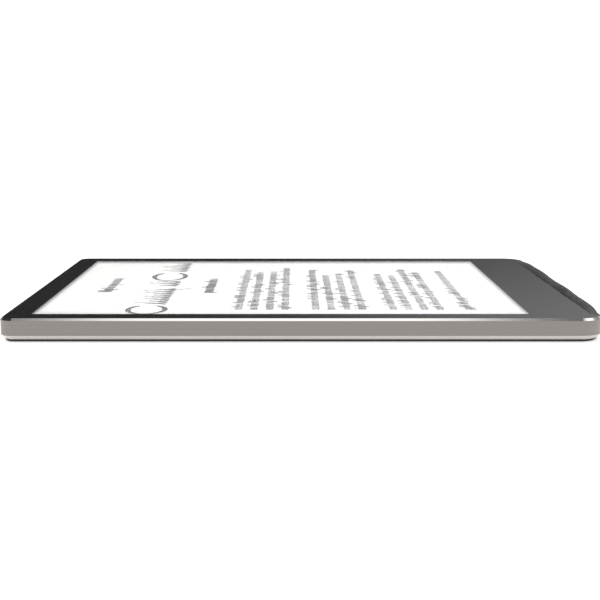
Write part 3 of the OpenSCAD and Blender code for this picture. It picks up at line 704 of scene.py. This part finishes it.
def ridge(place, sizes):
    """Height of the keys' outer ridge above the glass at this place across the strip."""
    key_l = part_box("page_forward_key")[1].y + sizes.key_gap / 2
    a = abs(place)
    if a < key_l:
        return sizes.key_dip + (sizes.key_crest - sizes.key_dip) * (1 - math.cos(2 * math.pi * a / key_l)) / 2
    way = min(1.0, (a - key_l) / (strip_half(sizes) - sizes.strip_level - key_l))
    return sizes.key_dip * (1 - way ** (sizes.menu_fall if place > 0 else sizes.home_fall))


def key_piece(name, sizes):
    """One page key: a grid raised to the long wave, given its skirt, and rounded along its edges."""
    low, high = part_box(name)
    half = strip_half(sizes)
    inner = STRIP_INNER + KEY_HIDDEN
    outer = high.x
    corner = sizes.strip_corner
    turn_from = half - sizes.key_gap - corner
    alone()
    bpy.ops.mesh.primitive_grid_add(x_subdivisions=KEY_ROWS, y_subdivisions=KEY_COLUMNS, size=2,
                                    location=(0, 0, 0))
    piece = context_object()
    bpy.ops.object.mode_set(mode="EDIT")
    bpy.ops.mesh.select_all(action="SELECT")
    middle, reach = (low.y + high.y) / 2, (high.y - low.y) / 2
    bpy.ops.transform.resize(value=((outer - inner) / 2, reach, 1), center_override=(0, 0, 0))
    bpy.ops.transform.translate(value=((outer + inner) / 2, middle, GLASS_TOP))
    for i in range(KEY_ROWS + 1):
        x = inner + (outer - inner) * i / KEY_ROWS
        lift = math.sin(math.pi / 2 * min(1.0, (x - inner + sizes.key_gap) / KEY_RISE))
        pick(piece, "VERT", lambda mesh, v: abs(v.co.x - x) < SAME_ROW)
        bpy.ops.transform.translate(value=(0, 0, sizes.key_crest * lift))
    for j in range(KEY_COLUMNS + 1):
        y = low.y + (high.y - low.y) * j / KEY_COLUMNS
        pick(piece, "VERT", lambda mesh, v: abs(v.co.y - y) < SAME_ROW)
        share = max(ridge(y, sizes), KEY_LEAST_LIFT) / sizes.key_crest
        bpy.ops.transform.resize(value=(1, 1, share), center_override=(0, 0, GLASS_TOP))
        past = abs(y) - turn_from
        if past > 0:
            start = inner + corner - math.sqrt(max(corner ** 2 - past ** 2, 0))
            start = min(start, outer - KEY_LEAST_WIDTH)
            narrowing = (outer - start) / (outer - inner)
            bpy.ops.transform.resize(value=(narrowing, 1, 1), center_override=(outer, 0, 0))
    # skirt down to the flange
    bpy.ops.mesh.select_all(action="SELECT")
    bpy.ops.mesh.extrude_region_move(TRANSFORM_OT_translate={"value": (0, 0, -1.2 * MM)})
    bpy.ops.transform.resize(value=(1, 1, 0), center_override=(0, 0, low_flange()))
    bpy.ops.mesh.select_all(action="SELECT")
    bpy.ops.mesh.normals_make_consistent(inside=False)
    pick(piece, "EDGE", lambda mesh, e: rim_edge(mesh, e, piece))
    bpy.ops.mesh.bevel(offset=sizes.key_edge, segments=3, affect="EDGES", clamp_overlap=True)
    bpy.ops.object.mode_set(mode="OBJECT")
    # flange under the glass and plunger over the snap dome
    level = low_flange()
    flange_low = Vector((low.x, max(low.y, -half + FLANGE_INSET), level))
    flange_high = Vector((outer - FLANGE_MARGIN, min(high.y, half - FLANGE_INSET), level + FLANGE_THICKNESS))
    bpy.ops.mesh.primitive_cube_add(size=1, location=(flange_low + flange_high) / 2)
    flange = context_object()
    flange.scale = flange_high - flange_low
    apply_place()
    soften(flange, FLANGE_MARGIN, 2)
    alone()
    x, y = plunger_spot(name)
    top = level + FLANGE_MARGIN
    bpy.ops.mesh.primitive_cylinder_add(vertices=32, radius=PLUNGER_RADIUS, depth=top - low.z,
                                        location=(x, y, (top + low.z) / 2))
    plunger = context_object()
    soften(plunger, PLUNGER_EDGE, 3, lambda mesh, f: f.normal.z < -0.9)
    for part in (flange, plunger):
        alone(part)
        apply_place()
    whole = joined([piece, flange, plunger])
    bpy.ops.object.shade_smooth_by_angle(angle=math.radians(32))
    return whole


def low_flange():
    """Height of the keys' flange above the table: the lowest level part of a key's wide body."""
    zs = sorted({round(v.co.z, 6) for v in NODES["home_key"].data.vertices})
    return zs[1]


def plunger_spot(name):
    """Middle of a key's plunger, from its lowest points."""
    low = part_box(name)[0].z
    foot = [v.co for v in NODES[name].data.vertices if v.co.z < low + 0.01 * MM]
    xs, ys = [c.x for c in foot], [c.y for c in foot]
    return (min(xs) + max(xs)) / 2, (min(ys) + max(ys)) / 2


def rim_edge(mesh, edge, piece):
    """True for the edges where a key's upper surface meets its skirt."""
    a, b = (mesh.vertices[i].co for i in edge.vertices)
    if min(a.z, b.z) < low_flange() + 0.2 * MM:
        return False
    return edge_angle(piece).get(edge.index, 0) > 0.9


_angles = {}


def edge_angle(piece):
    """Angle between the two faces at each edge of a mesh, by edge number."""
    mesh = piece.data
    mark = (piece.name, len(mesh.edges))
    if mark not in _angles:
        faces = {}
        for face in mesh.polygons:
            for key in face.edge_keys:
                faces.setdefault(key, []).append(face.normal.copy())
        found = {}
        for edge in mesh.edges:
            around = faces.get(tuple(sorted(edge.vertices)), [])
            if len(around) == 2:
                found[edge.index] = around[0].angle(around[1], 0.0)
        _angles.clear()
        _angles[mark] = found
    return _angles[mark]


class READER_OT_keys(Operator):
    """Four page keys along the key end"""

    bl_idname = "reader.keys"
    bl_label = "Page keys"

    def execute(self, context):
        sizes = context.scene.reader_sizes
        # glass-filled nylon in a textured tool: matt dark grey, pits about 0.2 mm across, drawn at 0.9 mm
        plastic = grained("page_key_moulded_nylon", context.scene.reader_colours.key, "#2B2C2C", 0.9, 0.5,
                          bump=0.02, ior=1.53, specular=0.45, stretch=(1, 0.4, 1))
        for name in ("home_key", "page_back_key", "page_forward_key", "menu_key"):
            piece = key_piece(name, sizes)
            settle(piece, name + "_moulding", plastic, name + "_body")
            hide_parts(name)
        return {"FINISHED"}


class READER_OT_openings(Operator):
    """Charging socket with its contacts, speaker and its mesh, status light"""

    bl_idname = "reader.openings"
    bl_label = "Key end openings"

    def execute(self, context):
        # nickel-plated stainless shell: bright, faint drawing lines along its depth
        dress(grained("socket_shell_nickel_plated", "#D9D9DA", "#C2C2C4", 0.3, 0.22, metallic=1.0,
                      stretch=(0.1, 1, 1)), "usb_shell")
        # liquid-crystal polymer, moulded: near black, slightly shiny
        dress(grained("socket_tongue_moulded_polymer", "#29292B", "#1E1E20", 0.3, 0.4, bump=0.005),
              "usb_tongue", "power_switch", "display_socket", "touch_socket", "key_socket")
        dress(grained("speaker_box_moulded_nylon", "#303032", "#242426", 0.4, 0.55, bump=0.01), "speaker")
        dress(grained("speaker_seal_foam", "#1F1F1F", "#131313", 0.25, 0.85, bump=0.02), "speaker_gasket")
        dress(weave_finish(), "speaker_mesh")
        # frosted polycarbonate: milky, with soft clouding
        dress(grained("light_pipe_frosted_polycarbonate", "#F4F4F0", "#E3E3DC", 0.5, 0.5, ior=1.58),
              "status_light_pipe")
        dress(grained("status_lamp_phosphor", "#F2EAB8", "#E0D594", 0.3, 0.4), "status_led")
        self.contacts(context.scene.reader_sizes)
        return {"FINISHED"}

    def contacts(self, sizes):
        """Two rows of twelve gold-plated contact strips, above and below the socket's tongue."""
        gold = grained("contact_gold_plated", "#E8C374", "#D2A755", 0.2, 0.25, metallic=1.0)
        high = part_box("usb_tongue")[1]
        shell_low, shell_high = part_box("usb_shell")
        top = (shell_low.z + shell_high.z) / 2 + CONTACT_LIFT
        alone()
        bpy.ops.mesh.primitive_cube_add(size=1, location=(high.x - 2.6 * MM, 0, top))
        strip = context_object()
        strip.scale = (CONTACT_LENGTH, sizes.contact_width, CONTACT_THICKNESS)
        apply_place()
        soften(strip, 0.02 * MM, 2, lambda mesh, f: f.normal.x > 0.9)
        pieces = [strip]
        first = -(CONTACTS - 1) / 2 * CONTACT_PITCH
        for i in range(CONTACTS):
            for side in (0, 1):
                if i == 0 and side == 0:
                    continue
                other = strip.copy()
                other.data = strip.data.copy()
                bpy.context.collection.objects.link(other)
                other.location = (0, first + i * CONTACT_PITCH, -2 * CONTACT_LIFT * side)
                pieces.append(other)
        strip.location = (0, first, 0)
        for piece in pieces:
            alone(piece)
            apply_place()
        whole = joined(pieces)
        settle(whole, "charging_contacts", gold, "device")


class READER_OT_inside(Operator):
    """Chassis, boards, battery, ribbons and screws inside the body"""

    bl_idname = "reader.inside"
    bl_label = "Inside"

    def execute(self, context):
        # die-cast magnesium, tumbled: pale grey with a cloudy cast skin
        dress(grained("chassis_die_cast", "#C4C7CA", "#A6A9AD", 1.5, 0.5, metallic=1.0, bump=0.01),
              "chassis_plate")
        dress(board_finish(), "main_board", "key_board", "battery_protector")
        # stamped stainless spring strip: satin, drawn along Y
        dress(grained("snap_dome_stamped_steel", "#D2D1CC", "#B5B4AF", 0.2, 0.3, metallic=1.0,
                      stretch=(1, 0.1, 1)), "key_domes")
        # epoxy moulding compound: black with fine pale filler
        dress(grained("chip_moulded_epoxy", "#2A2A2C", "#151517", 0.12, 0.6, bump=0.005), "processor",
              "memory_chip", "power_chip", "cover_sensor", "display_drivers")
        # tin-plated steel: bright grey, faint rolling lines
        dress(grained("shield_tin_plated", "#CBCCCE", "#AEB0B2", 0.4, 0.35, metallic=1.0,
                      stretch=(1, 0.08, 1)), "shield_can", "wireless_module")
        dress(grained("chip_part_fired_ceramic", "#A5825A", "#785A38", 0.4, 0.5), "board_passives")
        # laminated pouch foil: soft grey with shallow creases
        dress(grained("battery_laminated_foil", "#B4B6B9", "#8D8F92", 6.0, 0.42, metallic=0.6, bump=0.03),
              "battery_cell")
        dress(grained("battery_pad_foam_tape", "#E0DED8", "#CCCAC2", 0.3, 0.8, bump=0.01), "battery_pad")
        dress(wire_finish(), "battery_lead")
        # natural nylon, moulded: cream, slightly waxy
        dress(grained("plug_moulded_nylon", "#EEE9DD", "#DDD7C6", 0.5, 0.45), "battery_plug",
              "battery_socket")
        dress(ribbon_finish(), "display_flex", "touch_flex", "key_flex", "antenna")
        # black-zinc plated screws: dark with turned rings
        dress(grained("screw_black_zinc", "#8A8C8F", "#5C5E61", 0.15, 0.35, metallic=1.0), "chassis_screws",
              "board_screws")
        return {"FINISHED"}


class READER_OT_stage(Operator):
    """Pale floor, soft studio light and the camera"""

    bl_idname = "reader.stage"
    bl_label = "Studio"

    def execute(self, context):
        studio = context.scene.reader_studio
        context.scene.view_settings.view_transform = "Standard"
        self.floor(context)
        self.room(context, studio)
        self.lamps()
        self.camera(context, studio)
        return {"FINISHED"}

    def floor(self, context):
        """A wide round floor under the body, a hair below it so that the two faces don't share a plane."""
        alone()
        bpy.ops.mesh.primitive_circle_add(vertices=128, radius=FLOOR_RADIUS, fill_type="NGON",
                                          location=(0, 0, -FLOOR_DROP))
        floor = context_object()
        floor.name = "studio_floor"
        made, tree, out = blank("floor_painted_board")
        place = add(tree, "ShaderNodeTexCoord").outputs["Object"]
        noise = add(tree, "ShaderNodeTexNoise", Vector=place, Scale=8.0, Detail=2.0)
        pale = linear(context.scene.reader_colours.floor)
        tone = ramp(tree, noise.outputs[0], [(0.3, linear("#F0F0F0")), (0.7, pale)])
        seen = add(tree, "ShaderNodeLightPath")
        seen_glossy = add(tree, "ShaderNodeMath", {"operation": "MAXIMUM"}, _0=seen.outputs["Is Camera Ray"],
                          _1=seen.outputs["Is Glossy Ray"])
        lift = add(tree, "ShaderNodeMath", {"operation": "MULTIPLY"}, _0=seen_glossy.outputs[0], _1=0.45)
        body = add(tree, "ShaderNodeBsdfPrincipled", Base_Color=tone, Roughness=0.9,
                   Emission_Color=(1, 1, 1, 1), Emission_Strength=lift.outputs[0])
        body.inputs["Specular IOR Level"].default_value = 0.0
        # clear from below, and out of the way of soft light, so that the back cover can be looked at too
        side = add(tree, "ShaderNodeNewGeometry")
        clear = add(tree, "ShaderNodeBsdfTransparent")
        mix = add(tree, "ShaderNodeMixShader", _0=side.outputs["Backfacing"], _1=body.outputs[0],
                  _2=clear.outputs[0])
        tree.links.new(mix.outputs[0], out.inputs["Surface"])
        floor.visible_diffuse = False
        floor.data.materials.append(made)

    def room(self, context, studio):
        """An even white room, with the dim and bright cards that show in the gloss."""
        world = bpy.data.worlds.new("studio_room")
        context.scene.world = world
        world.use_nodes = True
        tree = world.node_tree
        tree.nodes.clear()
        out = tree.nodes.new("ShaderNodeOutputWorld")
        way = add(tree, "ShaderNodeSeparateXYZ", _0=add(tree, "ShaderNodeTexCoord").outputs["Generated"])
        x, y, z = way.outputs

        def tone(value):
            return (value, value, value, 1.0)

        def share(top, base, reach, stops):
            """A ramp over top / base, from -reach to reach."""
            low, high = -reach, reach
            base = add(tree, "ShaderNodeMath", {"operation": "MAXIMUM"}, _0=base, _1=0.05)
            ratio = add(tree, "ShaderNodeMath", {"operation": "DIVIDE"}, _0=top, _1=base.outputs[0])
            span = add(tree, "ShaderNodeMapRange", Value=ratio.outputs[0], _1=low, _2=high)
            return ramp(tree, span.outputs[0], [((p - low) / (high - low), tone(v)) for p, v in stops])

        def part(value, start, end):
            return add(tree, "ShaderNodeMapRange", {"interpolation_type": "SMOOTHSTEP"}, Value=value,
                       _1=start, _2=end).outputs[0]

        def negative(value):
            return add(tree, "ShaderNodeMath", {"operation": "MULTIPLY"}, _0=value, _1=-1.0).outputs[0]

        def over(factor, below, above):
            return add(tree, "ShaderNodeMix", {"data_type": "RGBA"}, _0=factor, _6=below, _7=above).outputs[2]

        overhead = share(x, z, 2.0, [
            (-2.0, 0.03), (-0.36, 0.04), (-0.30, 0.17), (-0.26, 0.25), (-0.218, 0.50), (-0.162, 1.0),
            (-0.10, 1.16), (0.11, 1.16), (0.154, 0.91), (0.193, 0.50), (0.232, 0.25), (0.273, 0.12),
            (0.36, 0.11), (0.45, 0.9), (0.55, 1.25), (0.85, 1.25), (1.12, 0.3), (2.0, 0.25)])
        behind = share(x, y, 0.7, [
            (-0.7, 0.10), (-0.27, 0.03), (-0.1, 0.055), (0.0, 0.10), (0.09, 0.22), (0.18, 0.34), (0.27, 0.42),
            (0.7, 0.6)])
        rise = add(tree, "ShaderNodeMapRange", Value=z, _1=0.12, _2=0.19, _3=0.35, _4=1.0)
        scaled = add(tree, "ShaderNodeMix", {"data_type": "RGBA", "blend_type": "MULTIPLY"}, _0=1.0,
                     _6=behind, _7=rise.outputs[0])
        behind = add(tree, "ShaderNodeMix", {"data_type": "RGBA", "blend_type": "LIGHTEN"}, _0=1.0,
                     _6=scaled.outputs[2], _7=tone(0.04)).outputs[2]
        low = over(part(negative(y), 0.3, 0.85), tone(0.85), tone(0.46))
        low = over(part(y, 0.5, 0.75), low, behind)
        low = over(part(negative(z), 0.2, 0.4), low, tone(0.7))
        gloss = over(part(z, 0.30, 0.42), low, overhead)
        ray = add(tree, "ShaderNodeLightPath")
        mirror = add(tree, "ShaderNodeMath", {"operation": "MAXIMUM"}, _0=ray.outputs["Is Glossy Ray"],
                     _1=ray.outputs["Is Transmission Ray"])
        seen = over(mirror.outputs[0], tone(studio.room), gloss)
        seen = over(ray.outputs["Is Camera Ray"], seen, tone(1.1))
        back = add(tree, "ShaderNodeBackground", Color=seen, Strength=1.0)
        tree.links.new(back.outputs[0], out.inputs["Surface"])
        world.cycles.sampling_method = "NONE"

    def lamps(self):
        """One wide soft lamp above and behind, for a little shape."""
        alone()
        bpy.ops.object.light_add(type="AREA", location=(-0.5, 0.5, 1.2))
        lamp = context_object()
        lamp.name = "soft_lamp"
        lamp.data.shape = "DISK"
        lamp.data.size = 1.2
        lamp.data.energy = 4.0
        lamp.rotation_euler = (Vector((0, 0, 0)) - lamp.location).to_track_quat("-Z", "Y").to_euler()
        lamp.visible_glossy = False
        lamp.visible_camera = False

    def camera(self, context, studio):
        """The camera in front of the near long side, a little above the glass."""
        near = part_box("mid_frame")[0].y
        alone()
        bpy.ops.object.camera_add(location=(studio.side, near - studio.back, GLASS_TOP + studio.above))
        camera = context_object()
        camera.name = "studio_camera"
        camera.rotation_euler = Euler((math.pi / 2 - studio.tilt, 0, 0), "XYZ")
        camera.data.lens = studio.lens
        camera.data.sensor_width = 36.0
        camera.data.shift_x = studio.shift
        camera.data.clip_start = 0.01
        camera.data.clip_end = 100.0
        context.scene.camera = camera


class READER_PT_panel(Panel):
    """Sizes, colours and steps of the reading tablet"""

    bl_label = "Reader"
    bl_idname = "READER_PT_panel"
    bl_space_type = "VIEW_3D"
    bl_region_type = "UI"
    bl_category = "Reader"

    def draw(self, context):
        for step in STEPS:
            self.layout.operator(step.bl_idname)
        for group in (context.scene.reader_sizes, context.scene.reader_colours, context.scene.reader_studio):
            box = self.layout.box()
            for name in group.__annotations__:
                box.prop(group, name)


STEPS = (READER_OT_stage, READER_OT_glass, READER_OT_display, READER_OT_print, READER_OT_frame,
         READER_OT_cover, READER_OT_keys, READER_OT_openings, READER_OT_inside)
CLASSES = (ReaderSizes, ReaderColours, ReaderStudio) + STEPS + (READER_PT_panel,)


def register():
    """Registers the classes and hangs the settings on the scene."""
    for kind in CLASSES:
        bpy.utils.register_class(kind)
    bpy.types.Scene.reader_sizes = PointerProperty(type=ReaderSizes)
    bpy.types.Scene.reader_colours = PointerProperty(type=ReaderColours)
    bpy.types.Scene.reader_studio = PointerProperty(type=ReaderStudio)


def unregister():
    """Removes what register added."""
    del bpy.types.Scene.reader_studio
    del bpy.types.Scene.reader_colours
    del bpy.types.Scene.reader_sizes
    for kind in reversed(CLASSES):
        bpy.utils.unregister_class(kind)


def main():
    """Runs every step in order."""
    register()
    for step in STEPS:
        group, name = step.bl_idname.split(".")
        if getattr(getattr(bpy.ops, group), name)() != {"FINISHED"}:
            raise RuntimeError(step.bl_label + " didn't finish")


if __name__ == "__main__":
    main()
